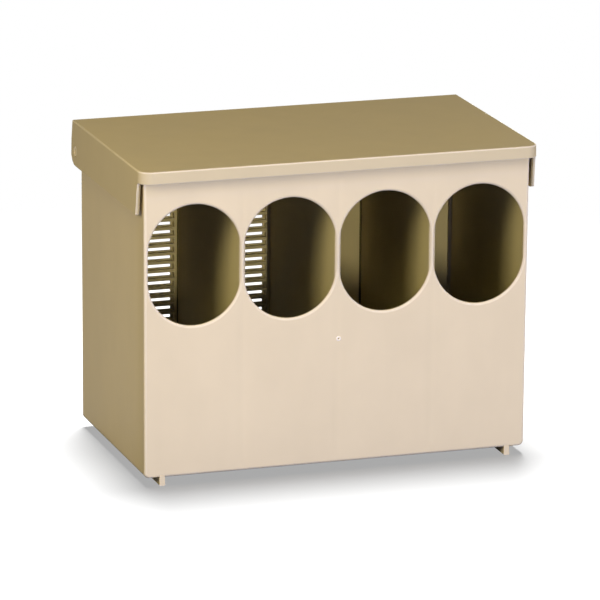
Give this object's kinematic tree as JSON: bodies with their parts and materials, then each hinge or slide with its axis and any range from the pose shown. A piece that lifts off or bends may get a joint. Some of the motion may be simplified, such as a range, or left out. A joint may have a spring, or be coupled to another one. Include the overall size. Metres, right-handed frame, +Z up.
{
  "type": "compartment poultry feeder",
  "caption": "Box-shaped moulded poultry feeder: round-ended head openings in front, partitions inside, louvred and plain rear inserts, and a hinged skirted lid.",
  "frame": {"origin": "on the ground, below the centre of the closed feeder's bounding box", "axes": "+X to the right of someone who stands in front of the openings, +Y from the front wall to the rear, +Z up"},
  "size_m": [0.3936, 0.2328, 0.3049],
  "materials": {
    "body_plastic": "sand-beige polypropylene, coloured in the mass, fine satin mould texture",
    "partition_plastic": "sand-beige polypropylene, satin",
    "insert_plastic": "sand-beige polypropylene, satin",
    "lid_plastic": "sand-beige polypropylene, fine satin mould texture",
    "pin_plastic": "sand-beige nylon, smooth"
  },
  "bodies": {
    "feeder_box": {"body_shell": "body_plastic", "partition_left": "partition_plastic", "partition_middle": "partition_plastic", "partition_right": "partition_plastic", "rear_grille": "insert_plastic", "rear_panel": "insert_plastic", "hinge_pin_left": "pin_plastic", "hinge_pin_right": "pin_plastic"},
    "lid": {"lid": "lid_plastic"}
  },
  "joints": [
    {"name": "lid_hinge", "type": "hinge", "parent": "feeder_box", "child": "lid", "pos_m": [0, 0.10135, 0.276], "axis": [-1, 0, 0], "range_deg": [0, 114]}
  ]
}
